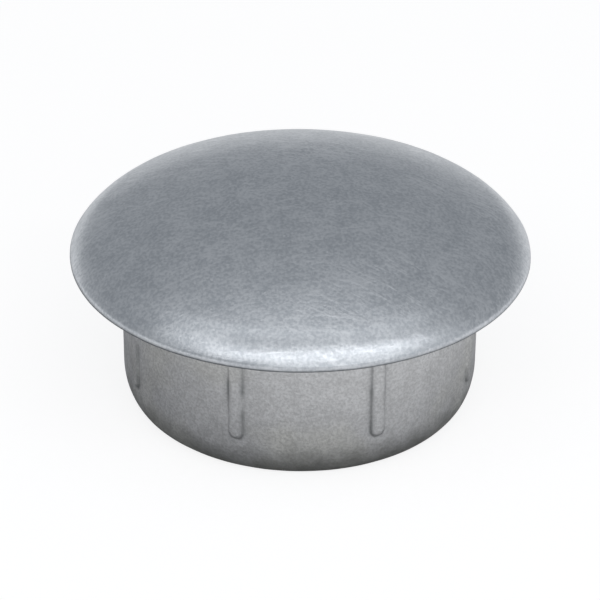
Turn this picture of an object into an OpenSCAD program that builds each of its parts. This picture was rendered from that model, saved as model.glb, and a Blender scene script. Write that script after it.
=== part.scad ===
// Push-in cap for the top of a round tubular fence post: a domed head over a hollow spigot with
// crush ribs, cast in one piece. Millimetres. The head's flat underside is z = 0, the dome is
// above it and the spigot below, on the Z axis.

/* [Head] */
// Diameter of the head across its rim
rim_d = 71.4; // [62:0.2:90]
// Height of the crown above the flat underside
crown_h = 12.5; // [9:0.5:16]
// Upright land at the rim, above the sharp parting edge
land_h = 0.5; // [0.2:0.1:1.5]
// Radius that turns the land over
edge_r = 1.5; // [0.5:0.1:3]
// Angle through which that radius turns before the shoulder takes over
edge_turn = 32; // [20:1:40]
// Radius of the shoulder, between the rim's edge and the crown
shoulder_r = 10.5; // [6:0.5:14]
// Thickness of the head over the hollow
head_t = 3.2; // [2:0.2:4]

/* [Spigot] */
// Bore of the post's tube
tube_bore_d = 56; // [40:0.5:64]
// Bite of each rib into that bore, on the radius
rib_bite = 0.1; // [0.05:0.05:0.3]
// Height of a rib above the spigot's wall
rib_rise = 0.28; // [0.2:0.02:1]
// Length of the spigot below the underside
spigot_l = 23.9; // [16:0.1:40]
// Wall of the spigot at its mouth
spigot_t = 3.2; // [2.6:0.1:5]
// Width of the rounded lead-in at the spigot's end, on the radius
lead_in_w = 2.7; // [1:0.1:3]
// Height of that lead-in
lead_in_h = 5.4; // [3:0.1:8]

/* [Ribs] */
// Number of ribs around the spigot
rib_count = 8; // [3:1:16]
// Width of a rib
rib_w = 2.4; // [1:0.1:5]
// Distance from a rib's round end to the start of the lead-in
rib_end_gap = 0.9; // [0:0.1:4]

/* [Hollow] */
// Draft of the hollow's wall, which narrows it towards the head
core_draft = 1.5; // [0.5:0.5:3]
// Radius in the corner between that wall and the ceiling
core_fillet_r = 3; // [1:0.5:5]
// Number of ejector pin pads on the ceiling
pad_count = 4; // [2:1:8]
// Diameter of a pad
pad_d = 5; // [3:0.5:7]
// Height of a pad where it stands out least
pad_rise = 0.3; // [0.1:0.1:1]
// Distance from the hollow's mouth radius in to a pad's centre
pad_inset = 9; // [7:0.5:11]

/* [Hidden] */
$fn = 96;
// Largest step along an arc of the turned outline, in degrees
arc_step = 3;
// Depth to which a rib or pad is sunk into the wall that carries it
root = 1;

rim_r = rim_d / 2;
rib_crest_r = tube_bore_d / 2 + rib_bite;
spigot_r = rib_crest_r - rib_rise;
mouth_r = spigot_r - spigot_t;
rib_l = spigot_l - lead_in_h - rib_end_gap;

// The dome's outline is three arcs, each tangent to the next: edge, shoulder and crown.
edge_c = [rim_r - edge_r, land_h];
shoulder_c = edge_c + (edge_r - shoulder_r) * [cos(edge_turn), sin(edge_turn)];
shoulder_drop = shoulder_c[1] - crown_h;
crown_r = (shoulder_r ^ 2 - shoulder_c[0] ^ 2 - shoulder_drop ^ 2) / (2 * (shoulder_drop + shoulder_r));
crown_c = [0, crown_h - crown_r];
shoulder_turn = atan2(shoulder_c[1] - crown_c[1], shoulder_c[0]);

// The hollow's ceiling runs parallel to the crown, and a fillet joins it to the drafted wall.
ceiling_r = crown_r - head_t;
wall_dir = [-sin(core_draft), cos(core_draft)];
wall_in = [-cos(core_draft), -sin(core_draft)];
fillet_start = [mouth_r, -spigot_l] + core_fillet_r * wall_in - crown_c;
fillet_reach = ceiling_r - core_fillet_r;
fillet_along = sqrt((fillet_start * wall_dir) ^ 2 - fillet_start * fillet_start + fillet_reach ^ 2)
    - fillet_start * wall_dir;
fillet_c = crown_c + fillet_start + fillet_along * wall_dir;
fillet_turn = atan2(fillet_c[1] - crown_c[1], fillet_c[0]);

pad_ring_r = mouth_r - pad_inset;
pad_face_z = crown_c[1] + sqrt(ceiling_r ^ 2 - (pad_ring_r + pad_d / 2) ^ 2) - pad_rise;
pad_top_z = crown_c[1] + sqrt(ceiling_r ^ 2 - (pad_ring_r - pad_d / 2) ^ 2) + root;

// Points along an ellipse of half axes a and b, or a circle, from one angle to another.
function arc(centre, a, b, from, to) =
    let (steps = ceil(abs(to - from) / arc_step))
    [for (i = [0:steps])
        let (turn = from + (to - from) * i / steps)
        centre + [a * cos(turn), b * sin(turn)]];

dome_points = concat(
    [[spigot_r, 0], [rim_r, 0]],
    arc(edge_c, edge_r, edge_r, 0, edge_turn),
    arc(shoulder_c, shoulder_r, shoulder_r, edge_turn, shoulder_turn),
    arc(crown_c, crown_r, crown_r, shoulder_turn, 90)
);
hollow_points = concat(
    arc(crown_c, ceiling_r, ceiling_r, 90, fillet_turn),
    arc(fillet_c, core_fillet_r, core_fillet_r, fillet_turn, core_draft),
    [[mouth_r, -spigot_l]]
);
lead_in_c = [spigot_r - lead_in_w, lead_in_h - spigot_l];
lead_in_points = arc(lead_in_c, lead_in_w, lead_in_h, -90, 0);

// Head and spigot wall, turned about the Z axis.
module shell() {
    rotate_extrude() polygon(concat(dome_points, hollow_points, lead_in_points));
}

// One crush rib along +X: straight sides, a round lower end, and a crest that follows the bore.
module rib() {
    slab_h = rib_l - rib_w / 2;
    slab_t = rib_rise + 2 * root;
    intersection() {
        translate([0, 0, -rib_l]) cylinder(r = rib_crest_r, h = rib_l + root);
        translate([spigot_r - root, 0, -slab_h]) {
            translate([0, -rib_w / 2, 0]) cube([slab_t, rib_w, slab_h + root]);
            rotate([0, 90, 0]) cylinder(d = rib_w, h = slab_t);
        }
    }
}

// One flat pad on the ceiling, where an ejector pin pushed the casting off its core.
module ejector_pad() {
    translate([pad_ring_r, 0, pad_face_z]) cylinder(d = pad_d, h = pad_top_z - pad_face_z);
}

module cap_casting() {
    color("#8d9298") union() {
        shell();
        for (i = [0:rib_count - 1]) rotate([0, 0, (i + 0.5) * 360 / rib_count]) rib();
        for (i = [0:pad_count - 1]) rotate([0, 0, i * 360 / pad_count]) ejector_pad();
    }
}

cap_casting();
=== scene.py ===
import math

import bmesh
import bpy
import numpy as np
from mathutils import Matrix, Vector, noise


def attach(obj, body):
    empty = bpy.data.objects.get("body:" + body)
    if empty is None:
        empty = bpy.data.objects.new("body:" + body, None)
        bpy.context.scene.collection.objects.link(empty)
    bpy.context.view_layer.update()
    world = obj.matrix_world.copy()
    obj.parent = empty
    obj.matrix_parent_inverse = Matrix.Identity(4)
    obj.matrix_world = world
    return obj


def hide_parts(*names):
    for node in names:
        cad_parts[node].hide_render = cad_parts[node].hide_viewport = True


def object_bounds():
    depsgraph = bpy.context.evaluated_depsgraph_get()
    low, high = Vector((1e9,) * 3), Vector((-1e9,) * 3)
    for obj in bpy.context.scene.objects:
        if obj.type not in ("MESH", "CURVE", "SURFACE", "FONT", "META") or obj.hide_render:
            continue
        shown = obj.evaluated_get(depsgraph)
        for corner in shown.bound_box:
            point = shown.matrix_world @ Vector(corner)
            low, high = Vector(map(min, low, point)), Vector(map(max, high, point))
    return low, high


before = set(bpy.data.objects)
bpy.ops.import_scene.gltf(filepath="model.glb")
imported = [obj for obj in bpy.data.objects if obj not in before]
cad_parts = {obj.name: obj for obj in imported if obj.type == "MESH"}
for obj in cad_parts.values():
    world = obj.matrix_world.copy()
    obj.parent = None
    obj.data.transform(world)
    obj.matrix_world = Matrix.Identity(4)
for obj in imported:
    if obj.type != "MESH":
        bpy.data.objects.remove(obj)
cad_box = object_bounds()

# ---------------------------------------------------------------------------------------------
# Table top. A plain pale sheet that the cap stands on, on its spigot's end, and that runs on past
# every view. It keeps the cap's soft shadow. In the metal it shows dim close to the cap, a painted
# shadow, and pale further out.
# ---------------------------------------------------------------------------------------------
MM = 0.001
table_z = cad_box[0][2]
sheet_half = 3.0
sheet_pale = (0.24, 0.24, 0.245, 1.0)

# The glow that makes the sheet white: to the eye, and at most in the metal.
sheet_lift = 0.83
sheet_gloss = 0.80

# In the metal the glow sets in between these distances from a point a little off the cap's axis. Inside
# them the dim sheet is a painted shadow.
painted_shadow_from = 40 * MM
painted_shadow_to = 114 * MM
painted_shadow_shift = (11 * MM, -12 * MM, 0.0)


def plain_mesh(name, points, faces):
    mesh = bpy.data.meshes.new(name)
    mesh.from_pydata(points, [], faces)
    mesh.update()
    made = bpy.data.objects.new(name, mesh)
    bpy.context.scene.collection.objects.link(made)
    return made


def feed(tree, value, target):
    """Link a node's output to a socket, or set the socket to a plain value."""
    if hasattr(value, "links"):
        tree.links.new(value, target)
    else:
        target.default_value = value


def make(tree, kind, settings=None, **inputs):
    """A node of one kind, with its settings and its named inputs."""
    made = tree.nodes.new(kind)
    for key, value in (settings or {}).items():
        setattr(made, key, value)
    for key, value in inputs.items():
        feed(tree, value, made.inputs[key.replace("_", " ")])
    return made


def math_node(tree, how, a, b=0.0, c=0.0):
    made = make(tree, "ShaderNodeMath", {"operation": how})
    for value, target in zip((a, b, c), made.inputs):
        feed(tree, value, target)
    return made.outputs[0]


def ramp(tree, value, low, high):
    """0 at low, 1 at high and smooth between them. Low may be the larger."""
    made = make(tree, "ShaderNodeMapRange", {"interpolation_type": "SMOOTHSTEP"}, Value=value)
    made.inputs["From Min"].default_value = low
    made.inputs["From Max"].default_value = high
    return made.outputs[0]


def empty_tree(owner):
    owner.use_nodes = True
    owner.node_tree.nodes.clear()
    return owner.node_tree


def pale_sheet():
    finish = bpy.data.materials.new("pale_sheet")
    tree = empty_tree(finish)
    seen = make(tree, "ShaderNodeLightPath").outputs
    place = make(tree, "ShaderNodeTexCoord").outputs["Object"]
    level = make(tree, "ShaderNodeMapping", Vector=place, Location=painted_shadow_shift, Scale=(1.0, 1.0, 0.0))
    away = make(tree, "ShaderNodeVectorMath", {"operation": "LENGTH"})
    tree.links.new(level.outputs[0], away.inputs[0])
    # Painted shadow: in the metal the sheet's glow is held back close to the cap.
    outside_painted_shadow = ramp(tree, away.outputs["Value"], low=painted_shadow_from, high=painted_shadow_to)
    outside_painted_shadow = math_node(tree, "MULTIPLY", outside_painted_shadow, sheet_gloss)
    mirrored = math_node(tree, "MAXIMUM", seen["Is Glossy Ray"], seen["Is Transmission Ray"])
    mirrored = math_node(tree, "MULTIPLY", mirrored, outside_painted_shadow)
    lift = math_node(tree, "MULTIPLY_ADD", seen["Is Camera Ray"], sheet_lift, mirrored)
    matt = make(tree, "ShaderNodeBsdfDiffuse", Color=sheet_pale)
    glow = make(tree, "ShaderNodeEmission", Strength=lift)
    both = make(tree, "ShaderNodeAddShader")
    tree.links.new(matt.outputs[0], both.inputs[0])
    tree.links.new(glow.outputs[0], both.inputs[1])
    make(tree, "ShaderNodeOutputMaterial", Surface=both.outputs[0])
    return finish


signs = [(-1, -1), (1, -1), (1, 1), (-1, 1)]
corners = [(x * sheet_half, y * sheet_half, table_z) for x, y in signs]
sheet = plain_mesh("pale_sheet", corners, [(0, 1, 2, 3)])
sheet.data.materials.append(pale_sheet())

# ---------------------------------------------------------------------------------------------
# Studio walls. A dim grey room with a backdrop that is white to the eye. In the metal, only the
# backdrop's foot shows pale, low down, and the room above it is grey.
# ---------------------------------------------------------------------------------------------
room_grey = (0.367, 0.381, 0.40, 1.0)
backdrop_white = (1.0, 1.0, 1.0, 1.0)

# The most white that the foot shows in the metal, and the height at which it ends: 0 is level and
# 1 is straight up.
foot_gloss = 0.22
foot_top = 0.16

studio = bpy.data.worlds.new("studio")
bpy.context.scene.world = studio
walls_tree = empty_tree(studio)
seen = make(walls_tree, "ShaderNodeLightPath").outputs
toward = make(walls_tree, "ShaderNodeTexCoord").outputs["Generated"]
height = make(walls_tree, "ShaderNodeSeparateXYZ", Vector=toward).outputs["Z"]
foot = math_node(walls_tree, "MULTIPLY", ramp(walls_tree, height, low=foot_top, high=0.0), foot_gloss)
mirrored = math_node(walls_tree, "MAXIMUM", seen["Is Glossy Ray"], seen["Is Transmission Ray"])
mirrored = math_node(walls_tree, "MULTIPLY", mirrored, foot)
pale = math_node(walls_tree, "MAXIMUM", seen["Is Camera Ray"], mirrored)
grey = make(walls_tree, "ShaderNodeBackground", Color=room_grey)
white = make(walls_tree, "ShaderNodeBackground", Color=backdrop_white)
walls = make(walls_tree, "ShaderNodeMixShader", Fac=pale)
walls_tree.links.new(grey.outputs[0], walls.inputs[1])
walls_tree.links.new(white.outputs[0], walls.inputs[2])
make(walls_tree, "ShaderNodeOutputWorld", Surface=walls.outputs[0])

# ---------------------------------------------------------------------------------------------
# Camera. A long lens a little under half a metre away. It stands just left of the front, looks
# down on the dome at about 30 degrees and is aimed at the upper part of the spigot.
# ---------------------------------------------------------------------------------------------
look_up = math.radians(29.83)
look_round = math.radians(-2.5)
look_roll = math.radians(0.35)
look_from = 427.2 * MM
aim = Vector((0.0, 0.0, -8.9 * MM))


def from_side(side, height, distance):
    """A place seen from the cap: side in radians round from the front, height above the level."""
    flat = math.cos(height) * distance
    return Vector((math.sin(side) * flat, -math.cos(side) * flat, math.sin(height) * distance))


def turn_to(thing, target):
    thing.rotation_euler = (target - thing.location).to_track_quat("-Z", "Y").to_euler()


lens = bpy.data.cameras.new("camera")
lens.lens = 165.0
lens.sensor_width = 36.0
lens.clip_start = 10 * MM
camera = bpy.data.objects.new("camera", lens)
bpy.context.scene.collection.objects.link(camera)
camera.location = from_side(look_round, look_up, look_from)
turn_to(camera, aim)
camera.rotation_euler.rotate_axis("Z", look_roll)
bpy.context.scene.camera = camera

# ---------------------------------------------------------------------------------------------
# Lamps. A wide, narrow soft box above the camera draws the bright line along the front of the rim.
# A large one hangs overhead, one stands low in front, and a weaker one stands on each side.
# ---------------------------------------------------------------------------------------------
lamp_distance = 0.9


def soft_box(name, side, height, size, watts):
    lamp = bpy.data.lights.new(name, "AREA")
    lamp.shape = "RECTANGLE"
    lamp.size = size[0]
    lamp.size_y = size[1]
    lamp.energy = watts
    box = bpy.data.objects.new(name, lamp)
    bpy.context.scene.collection.objects.link(box)
    box.location = from_side(math.radians(side), math.radians(height), lamp_distance)
    turn_to(box, Vector((0.0, 0.0, 0.0)))


soft_box("front_soft_box", side=9, height=46, size=(1.5, 0.09), watts=2.25)
soft_box("overhead_soft_box", side=0, height=84, size=(1.3, 0.45), watts=1.1)
soft_box("low_front_soft_box", side=14, height=20, size=(1.0, 0.3), watts=1.0)
soft_box("right_soft_box", side=62, height=16, size=(0.6, 0.7), watts=0.4)
soft_box("left_soft_box", side=-56, height=40, size=(0.4, 0.4), watts=0.42)
bpy.context.scene.view_settings.view_transform = "Standard"

# ---------------------------------------------------------------------------------------------
# Cap casting. The whole cap is one aluminium die casting: head, spigot, crush ribs and the hollow
# that the core leaves. The die parts at the rim's lower edge, and pins push the casting off the
# core at four pads on the ceiling of the hollow. It was tumbled afterwards, which smoothed the head.
# ---------------------------------------------------------------------------------------------
rim_r = cad_box[1][0]
crown_h = cad_box[1][2]
spigot_l = -cad_box[0][2]
land_h = 0.5 * MM
edge_r = 1.5 * MM
edge_turn = math.radians(32)
shoulder_r = 10.5 * MM
head_t = 3.2 * MM
rib_crest_r = 28.1 * MM
rib_rise = 0.28 * MM
spigot_r = rib_crest_r - rib_rise
spigot_t = 3.2 * MM
mouth_r = spigot_r - spigot_t
lead_in_w = 2.7 * MM
lead_in_h = 5.4 * MM
rib_count = 8
rib_w = 2.4 * MM
rib_end_gap = 0.9 * MM
rib_l = spigot_l - lead_in_h - rib_end_gap
rib_end_z = -rib_l + rib_w / 2
core_draft = math.radians(1.5)
core_fillet_r = 3.0 * MM

# Small radii that the die and the tumbling leave: at the parting edge, under the rim and at the mouth.
parting_r = 0.48 * MM
root_r = 0.35 * MM
lip_r = 0.25 * MM

# The cast surface strays this far from true, in long waves and in short ripples, whose sizes are in
# mm. The spigot's wall has only wall_share of it.
wave_rise = 0.045 * MM
wave_size = 9.0
wave_seed = Vector((3.1, 0.0, 0.0))
ripple_rise = 0.016 * MM
ripple_size = 2.6
ripple_seed = Vector((0.0, 7.7, 0.0))
wall_share = 0.6

# A rib's side slopes over side_w, with its middle set in by side_inset, and a faint groove at its foot.
side_w = 0.4 * MM
side_inset = 0.1 * MM
groove_d = 0.012 * MM
groove_at = 0.22 * MM
groove_w = 0.2 * MM

# Painted shade lies along the ribs' sides, in the corner under the rim and along the parting edge at the
# rim's lower edge.
# Along the ribs it breaks off in patches, down to a least share. The patches' size is in mm.
rib_shade_at = 0.04 * MM
rib_shade_w = 0.36 * MM
shade_patch_size = 3.4
shade_patch_seed = Vector((51.1, 18.5, 1.0))
shade_patch_middle = 0.6
shade_patch_swing = 1.1
shade_patch_least = 0.15
root_shade_w = 0.5 * MM
root_shade_reach = 1.0 * MM
parting_shade_z = 0.1 * MM
parting_shade_w = 0.5 * MM
parting_shade_reach = 0.6 * MM

# The head's colours are the satin's own tone with a blue cast, which is painted reflection of cool light
# from above.
satin_sheen_dark = (0.465, 0.495, 0.53, 1.0)
satin_sheen_pale = (0.685, 0.71, 0.74, 1.0)
satin_painted_shade = (0.30, 0.32, 0.34, 1.0)
skin_dark = (0.68, 0.685, 0.69, 1.0)
skin_pale = (0.90, 0.905, 0.915, 1.0)
skin_warmth = (1.0, 0.995, 0.955, 1.0)
skin_end_shade = (0.41, 0.415, 0.395, 1.0)
skin_painted_shade = (0.30, 0.31, 0.315, 1.0)


def arc(centre, wide, high, start, end, step):
    """Points along part of an ellipse, about one step apart."""
    span = max(wide, high) * abs(end - start)
    turns = np.linspace(start, end, max(2, round(span / step) + 1))
    return np.stack([centre[0] + wide * np.cos(turns), centre[1] + high * np.sin(turns)], axis=1)


def run(start, end, step):
    """Points along a straight line, about one step apart."""
    start, end = np.array(start), np.array(end)
    count = max(2, round(float(np.linalg.norm(end - start)) / step) + 1)
    return start + np.linspace(0.0, 1.0, count)[:, None] * (end - start)


# The dome is three arcs, each tangent to the next: crown, shoulder and edge.
quarter = math.pi / 2
edge_c = np.array([rim_r - edge_r, land_h])
shoulder_c = edge_c + (edge_r - shoulder_r) * np.array([math.cos(edge_turn), math.sin(edge_turn)])
shoulder_drop = shoulder_c[1] - crown_h
crown_r = (shoulder_r**2 - shoulder_c[0] ** 2 - shoulder_drop**2) / (2 * (shoulder_drop + shoulder_r))
crown_c = np.array([0.0, crown_h - crown_r])
shoulder_turn = math.atan2(shoulder_c[1] - crown_c[1], shoulder_c[0])

# The hollow's ceiling is parallel to the crown, and a fillet joins it to the drafted wall.
ceiling_r = crown_r - head_t
wall_dir = np.array([-math.sin(core_draft), math.cos(core_draft)])
wall_in = np.array([-math.cos(core_draft), -math.sin(core_draft)])
to_start = np.array([mouth_r, -spigot_l]) + core_fillet_r * wall_in - crown_c
along = float(to_start @ wall_dir)
reach = ceiling_r - core_fillet_r
fillet_c = crown_c + to_start + (math.sqrt(along**2 - to_start @ to_start + reach**2) - along) * wall_dir
fillet_turn = math.atan2(fillet_c[1] - crown_c[1], fillet_c[0])
wall_top = fillet_c - core_fillet_r * wall_in

# The section runs from the crown over the rim, down the spigot and up through the hollow. Its points
# are close together where it bends, and around the ribs' round ends.
fine_top = rib_end_z + 0.3 * MM
parting_c = (rim_r - parting_r, parting_r)
root_c = (spigot_r + root_r, -root_r)
lead_in_c = (spigot_r - lead_in_w, lead_in_h - spigot_l)
lip_c = (mouth_r + lip_r, lip_r - spigot_l)
head_line = [
    arc(crown_c, crown_r, crown_r, quarter, shoulder_turn, step=0.72 * MM),
    arc(shoulder_c, shoulder_r, shoulder_r, shoulder_turn, edge_turn, step=0.4 * MM),
    arc(edge_c, edge_r, edge_r, edge_turn, 0.0, step=0.14 * MM),
    run((rim_r, land_h), (rim_r, parting_r), step=0.02 * MM),
    arc(parting_c, parting_r, parting_r, 0.0, -quarter, step=0.07 * MM),
]
spigot_line = [
    run((rim_r - parting_r, 0.0), (spigot_r + root_r, 0.0), step=0.7 * MM),
    arc(root_c, root_r, root_r, quarter, math.pi, step=0.12 * MM),
    run((spigot_r, -root_r), (spigot_r, fine_top), step=0.5 * MM),
    run((spigot_r, fine_top), (spigot_r, lead_in_h - spigot_l), step=0.11 * MM),
    arc(lead_in_c, lead_in_w, lead_in_h, 0.0, -quarter, step=0.4 * MM),
    run((spigot_r - lead_in_w, -spigot_l), (mouth_r + lip_r, -spigot_l), step=0.12 * MM),
    arc(lip_c, lip_r, lip_r, -quarter, -math.pi, step=0.08 * MM),
    run((mouth_r, lip_r - spigot_l), wall_top, step=1.1 * MM),
    arc(fillet_c, core_fillet_r, core_fillet_r, core_draft, fillet_turn, step=0.5 * MM),
    arc(crown_c, ceiling_r, ceiling_r, fillet_turn, quarter, step=0.9 * MM),
]


def joined(stretches):
    """One line of points, without those that two stretches share."""
    points = np.concatenate(stretches)
    keep = np.ones(len(points), bool)
    keep[1:] = np.linalg.norm(np.diff(points, axis=0), axis=1) > 1e-4 * MM
    return points[keep]


head_rows = len(joined(head_line))
outline = joined(head_line + spigot_line)
tangent = np.gradient(outline, axis=0)
tangent /= np.linalg.norm(tangent, axis=1)[:, None]
outward = np.stack([-tangent[:, 1], tangent[:, 0]], axis=1)

# How far the surface faces away from the axis: 1 on the spigot's wall, 0 on a level face and about
# -1 in the hollow. The ribs stand only where it is over wall_facing, and the grime under the
# rim lies only where it is over root_facing.
wall_facing = 0.2
root_facing = -0.1

# Columns stand close together along both sides of each rib, and further apart between the ribs.
pitch = 2 * math.pi / rib_count
rib_half = rib_w / 2 / rib_crest_r
rib_inner = 0.4 * rib_half
side_gaps = np.radians([0.08, 0.16, 0.26, 0.42, 0.75])
along_side = np.concatenate([rib_half - side_gaps[::-1], [rib_half], rib_half + side_gaps])
between_count = 14
between = np.linspace(along_side[-1], pitch / 2, between_count + 1)[1:]
half_pitch = np.concatenate([[0.0, rib_inner], along_side, between])
one_pitch = np.concatenate([-half_pitch[:0:-1], half_pitch[:-1]])
columns = np.concatenate([one_pitch + (i + 0.5) * pitch for i in range(rib_count)])


def hump(value, middle, width):
    """1 at the middle, and nearly 0 two widths away from it."""
    return math.exp(-(((value - middle) / width) ** 2))


def unevenness(spot):
    """How far the surface strays from true at a spot. The spot is in mm, the result in metres."""
    wave = wave_rise * noise.noise(spot / wave_size + wave_seed)
    return wave + ripple_rise * noise.noise(spot / ripple_size + ripple_seed)


def rib_at(across, z, spot):
    """A rib's height above the spigot, and the painted shade along its side, at a distance from its
    middle.
    """
    past = abs(across) if z >= rib_end_z else math.hypot(across, z - rib_end_z)
    side = past - rib_w / 2 + side_inset
    slope = min(1.0, max(0.0, 0.5 - side / side_w))
    rise = rib_rise * slope * slope * (3 - 2 * slope)
    rise -= groove_d * hump(side, groove_at, groove_w)
    # The painted shade along the side breaks off in patches.
    shade_patch = shade_patch_middle + shade_patch_swing * noise.noise(spot / shade_patch_size + shade_patch_seed)
    painted_shade = min(1.0, max(shade_patch_least, shade_patch)) * hump(side, rib_shade_at, rib_shade_w)
    return rise, painted_shade


def build_casting():
    """The turned outline with its ribs, as points, faces and how much painted shade each point has."""
    points, faces, painted_shades = [], [], []
    for (r, z), (out_r, out_z) in zip(outline, outward):
        above_lead_in = lead_in_h - spigot_l - 1e-6 * MM <= z < 0
        on_wall = above_lead_in and r < spigot_r + root_r and out_r > wall_facing
        near_root = -root_shade_reach < z <= 0 and r < spigot_r + root_shade_reach
        in_root = near_root and out_r > root_facing
        for turn in columns:
            across = ((turn % pitch) - pitch / 2) * spigot_r
            spot = Vector((r * math.cos(turn), r * math.sin(turn), z)) / MM
            lift = unevenness(spot)
            rise, painted_shade = 0.0, 0.0
            if on_wall:
                rise, painted_shade = rib_at(across, z, spot)
                lift *= wall_share
            # Painted shade in the corner under the rim.
            if in_root:
                painted_shade = max(painted_shade, hump(r - spigot_r - z, 0.0, root_shade_w))
            # Painted shade along the rim's lower edge.
            if r > rim_r - parting_shade_reach:
                painted_shade = hump(z, parting_shade_z, parting_shade_w)
            radius = r + lift * out_r + rise
            level = max(-spigot_l, z + lift * out_z)
            points.append((radius * math.cos(turn), radius * math.sin(turn), level))
            painted_shades.append(painted_shade)
    count = len(columns)
    for row in range(len(outline) - 1):
        for col in range(count):
            a = row * count + col
            b = row * count + (col + 1) % count
            faces.append((a, a + count, b + count, b))
    return points, faces, painted_shades


# Four round pads stand on the ceiling, in a ring. Each is a disc, sunk into the ceiling, whose flat
# face has a small bevel.
pad_count = 4
pad_sides = 48
pad_r = 2.5 * MM
pad_inset = 9.0 * MM
pad_ring_r = mouth_r - pad_inset
pad_rise = 0.3 * MM
pad_sunk = 0.6 * MM
pad_face_z = crown_c[1] + math.sqrt(ceiling_r**2 - (pad_ring_r + pad_r) ** 2) - pad_rise
pad_top_z = crown_c[1] + math.sqrt(ceiling_r**2 - (pad_ring_r - pad_r) ** 2) + pad_sunk
pad_bevel = 0.1 * MM
pad_bevel_mid = 0.03 * MM
# Painted shade on the pads' sides, where each stands off the ceiling.
pad_shade = 0.8
pad_rings = [
    (pad_r, pad_top_z),
    (pad_r, pad_face_z + pad_bevel),
    (pad_r - pad_bevel_mid, pad_face_z + pad_bevel_mid),
    (pad_r - pad_bevel, pad_face_z),
    (pad_r * 0.6, pad_face_z),
    (pad_r * 0.2, pad_face_z),
]


def add_pad(turn, points, faces, painted_shades):
    middle = (pad_ring_r * math.cos(turn), pad_ring_r * math.sin(turn))
    first = len(points)
    for radius, z in pad_rings:
        for step in range(pad_sides):
            angle = 2 * math.pi * step / pad_sides
            points.append((middle[0] + radius * math.cos(angle), middle[1] + radius * math.sin(angle), z))
            painted_shades.append(pad_shade if radius == pad_r and z < pad_top_z else 0.0)
    for row in range(len(pad_rings) - 1):
        for step in range(pad_sides):
            a = first + row * pad_sides + step
            b = first + row * pad_sides + (step + 1) % pad_sides
            faces.append((a, a + pad_sides, b + pad_sides, b))
    last = first + (len(pad_rings) - 1) * pad_sides
    faces.append(tuple(first + step for step in range(pad_sides)))
    faces.append(tuple(last + step for step in reversed(range(pad_sides))))


# The head's faces take the first metal, and all the others the second. Knitting closes the poles.
points, faces, painted_shades = build_casting()
for pad in range(pad_count):
    add_pad(2 * math.pi * pad / pad_count, points, faces, painted_shades)
casting = plain_mesh("cap_casting_skin", points, faces)
head_faces = (head_rows - 1) * len(columns)
metals = [0] * head_faces + [1] * (len(faces) - head_faces)
casting.data.polygons.foreach_set("material_index", metals)
# Each point's painted shade goes on the mesh, for the metals to darken by.
casting.data.attributes.new("painted_shade", "FLOAT", "POINT").data.foreach_set("value", painted_shades)
knit = bmesh.new()
knit.from_mesh(casting.data)
bmesh.ops.remove_doubles(knit, verts=knit.verts, dist=0.001 * MM)
knit.to_mesh(casting.data)
knit.free()
casting.data.shade_smooth()


def noise_on(tree, place, size, detail=3.0, roughness=0.55, distortion=0.0):
    """Noise whose largest features are of this size."""
    made = make(tree, "ShaderNodeTexNoise", Vector=place, Detail=detail, Roughness=roughness)
    made.inputs["Scale"].default_value = 1.0 / size
    made.inputs["Distortion"].default_value = distortion
    return made.outputs["Fac"]


def streaks(tree, place, turn, size, seed):
    """Noise drawn out into streaks, turned about Z. The size is along, across and down, in mm."""
    turned = make(tree, "ShaderNodeMapping", Vector=place, Rotation=(0.0, 0.0, math.radians(turn)))
    drawn = make(tree, "ShaderNodeMapping", Vector=turned.outputs[0], Location=(seed, seed, 0.0))
    drawn.inputs["Scale"].default_value = [1.0 / (side * MM) for side in size]
    return noise_on(tree, drawn.outputs[0], size=1.0, detail=2.0)


def close_to(tree, place, spot, full, none):
    """1 within one distance of a spot, and 0 beyond the other. All are in mm."""
    gap = make(tree, "ShaderNodeVectorMath", {"operation": "DISTANCE"})
    tree.links.new(place, gap.inputs[0])
    gap.inputs[1].default_value = [side * MM for side in spot]
    return ramp(tree, gap.outputs["Value"], low=none * MM, high=full * MM)


def added(tree, *layers):
    """The sum of layers, each a value and its share."""
    total = 0.0
    for value, share in layers:
        total = math_node(tree, "MULTIPLY_ADD", value, share, total)
    return total


def mixed(tree, value, first, second, blend="MIX"):
    made = make(tree, "ShaderNodeMix", {"data_type": "RGBA", "blend_type": blend})
    factor, first_colour, second_colour = 0, 6, 7
    feed(tree, value, made.inputs[factor])
    feed(tree, first, made.inputs[first_colour])
    feed(tree, second, made.inputs[second_colour])
    return made.outputs[2]


relief_d = 0.06 * MM


def finish_metal(tree, colour, rough, relief, strength):
    """The metal's shader: its colour, its roughness and a fine relief."""
    dents = make(tree, "ShaderNodeBump", Strength=strength, Distance=relief_d, Height=relief)
    body = make(tree, "ShaderNodeBsdfPrincipled", Metallic=1.0, Normal=dents.outputs[0])
    tree.links.new(colour, body.inputs["Base Color"])
    tree.links.new(rough, body.inputs["Roughness"])
    make(tree, "ShaderNodeOutputMaterial", Surface=body.outputs[0])


# Rub marks lie in three directions. Each row is a turn in degrees, a seed, the marks' length, width
# and depth, and the size of the patches that they come in. Sizes are in mm.
rub_marks = [
    (28, 1.7, (8.3, 0.67, 2.5), 9.235),
    (4, 4.2, (9.1, 0.77, 2.5), 8.11),
    (-17, 9.4, (7.7, 0.62, 2.5), 5.77),
]

# The middle of one area of drag marks at the front right, and of a pebbled one just behind the
# crown's middle, in mm.
drag_spot = (15, -21, 8)
pebble_spot = (1, 9, 12)


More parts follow.
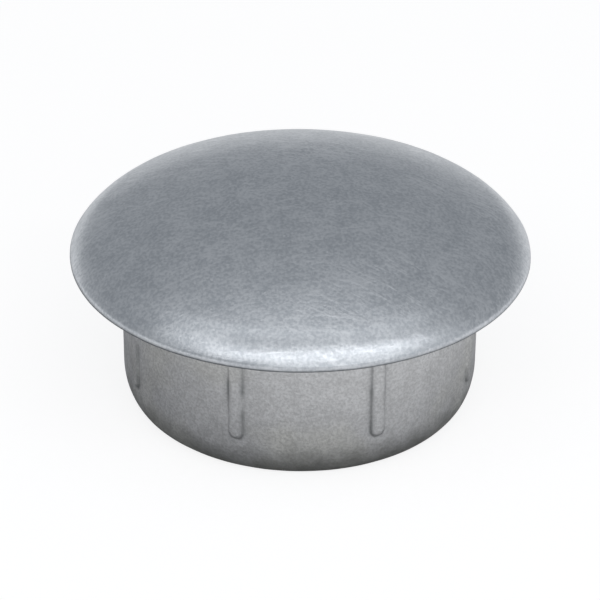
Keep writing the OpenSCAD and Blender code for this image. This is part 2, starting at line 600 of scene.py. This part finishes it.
def tumbled_aluminium():
    """The head: satin, dimpled by tumbling, with short rub marks that cross each other."""
    finish = bpy.data.materials.new("tumbled_aluminium")
    tree = empty_tree(finish)
    place = make(tree, "ShaderNodeTexCoord").outputs["Object"]
    mottle = noise_on(tree, place, size=4.2 * MM, detail=4.0, roughness=0.6)
    cloud = noise_on(tree, place, size=17 * MM)
    dimples = noise_on(tree, place, size=0.5 * MM, detail=2.0, roughness=0.5)
    dimples = ramp(tree, dimples, low=0.3, high=0.7)
    grain = noise_on(tree, place, size=0.24 * MM, detail=2.0)
    specks = ramp(tree, noise_on(tree, place, size=0.75 * MM, detail=1.0), low=0.70, high=0.76)
    rubs = 0.0
    for turn, seed, size, patch in rub_marks:
        rub = ramp(tree, streaks(tree, place, turn, size, seed), low=0.50, high=0.72)
        where = ramp(tree, noise_on(tree, place, size=patch * MM, detail=2.0), low=0.46, high=0.66)
        rubs = math_node(tree, "MULTIPLY_ADD", rub, where, rubs)
    drag = streaks(tree, place, turn=28, size=(7.7, 0.77, 2.5), seed=6.1)
    drag = ramp(tree, drag, low=0.54, high=0.70)
    drag = math_node(tree, "MULTIPLY", drag, close_to(tree, place, drag_spot, full=3, none=12))
    pebble = ramp(tree, noise_on(tree, place, size=1.2 * MM, detail=2.0), low=0.38, high=0.66)
    pebble = math_node(tree, "MULTIPLY", pebble, close_to(tree, place, pebble_spot, full=3, none=13))
    relief = added(tree, (dimples, 0.55), (grain, 0.25), (rubs, 0.5), (drag, 0.9))
    relief = added(tree, (relief, 1.0), (pebble, 1.6), (mottle, 0.45))
    tone = added(tree, (mottle, 0.5), (dimples, 0.30), (grain, 0.25), (rubs, 0.22))
    tone = added(tree, (tone, 1.0), (specks, 0.35), (drag, 0.18), (pebble, 0.14))
    colour = mixed(tree, ramp(tree, tone, low=0.22, high=0.86), satin_sheen_dark, satin_sheen_pale)
    # Painted shade darkens the colour along the rim's lower edge.
    painted_shade = make(tree, "ShaderNodeAttribute", {"attribute_name": "painted_shade"}).outputs["Fac"]
    colour = mixed(tree, math_node(tree, "MULTIPLY", painted_shade, 0.55), colour, satin_painted_shade)
    rough = math_node(tree, "ADD", added(tree, (rubs, -0.04), (cloud, 0.08)), 0.32)
    finish_metal(tree, colour, rough, relief, strength=0.26)
    return finish


# Painted shade at the spigot's end is full below one height over the end and thins out up to the other.
# The mottle lowers both, by up to the wander given below.
end_shade_full_h = 2 * MM
end_shade_none_h = 10 * MM
end_shade_wander = 6 * MM


def as_cast_aluminium():
    """Spigot, underside and hollow: the skin that the die left, with painted shade towards the spigot's
    end and in its corners.
    """
    finish = bpy.data.materials.new("as_cast_aluminium")
    tree = empty_tree(finish)
    place = make(tree, "ShaderNodeTexCoord").outputs["Object"]
    upward = make(tree, "ShaderNodeSeparateXYZ", Vector=place).outputs["Z"]
    grain = noise_on(tree, place, size=0.43 * MM, detail=3.0, roughness=0.6)
    grain = ramp(tree, grain, low=0.25, high=0.75)
    mottle = noise_on(tree, place, size=3 * MM, detail=4.0, roughness=0.6)
    draw = streaks(tree, place, turn=0, size=(0.67, 0.67, 14), seed=3.3)
    swirl = noise_on(tree, place, size=1.4 * MM, detail=3.0, distortion=2.2)
    swirl = ramp(tree, swirl, low=0.35, high=0.65)
    # Painted shade: the colour darkens towards the spigot's end, up to a height that the mottle lowers in
    # places.
    end_unshaded = math_node(tree, "MULTIPLY_ADD", mottle, end_shade_wander, upward)
    end_unshaded = ramp(tree, end_unshaded, low=end_shade_full_h - spigot_l, high=end_shade_none_h - spigot_l)
    swirl = math_node(tree, "MULTIPLY", swirl, math_node(tree, "SUBTRACT", 1.25, end_unshaded))
    relief = added(tree, (grain, 0.6), (draw, 0.25), (mottle, 0.8), (swirl, 1.3))
    tone = added(tree, (mottle, 0.4), (grain, 0.5), (swirl, 0.28))
    colour = mixed(tree, ramp(tree, tone, low=0.2, high=0.85), skin_dark, skin_pale)
    warm = ramp(tree, noise_on(tree, place, size=18 * MM, detail=2.0), low=0.42, high=0.62)
    colour = mixed(tree, warm, colour, skin_warmth, "MULTIPLY")
    # Painted shade at the spigot's end.
    colour = mixed(tree, end_unshaded, skin_end_shade, colour)
    # Painted shade along the ribs' sides, in the corner under the rim and on the pads, patchy with the
    # mottle.
    painted_shade = make(tree, "ShaderNodeAttribute", {"attribute_name": "painted_shade"}).outputs["Fac"]
    painted_shade = math_node(tree, "MULTIPLY", painted_shade, math_node(tree, "MULTIPLY_ADD", mottle, 1.2, 0.1))
    colour = mixed(tree, painted_shade, colour, skin_painted_shade)
    rough = math_node(tree, "MULTIPLY_ADD", mottle, 0.16, 0.46)
    finish_metal(tree, colour, rough, relief, strength=0.45)
    return finish


casting.data.materials.append(tumbled_aluminium())
casting.data.materials.append(as_cast_aluminium())
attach(casting, "root")
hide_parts("cap_casting")
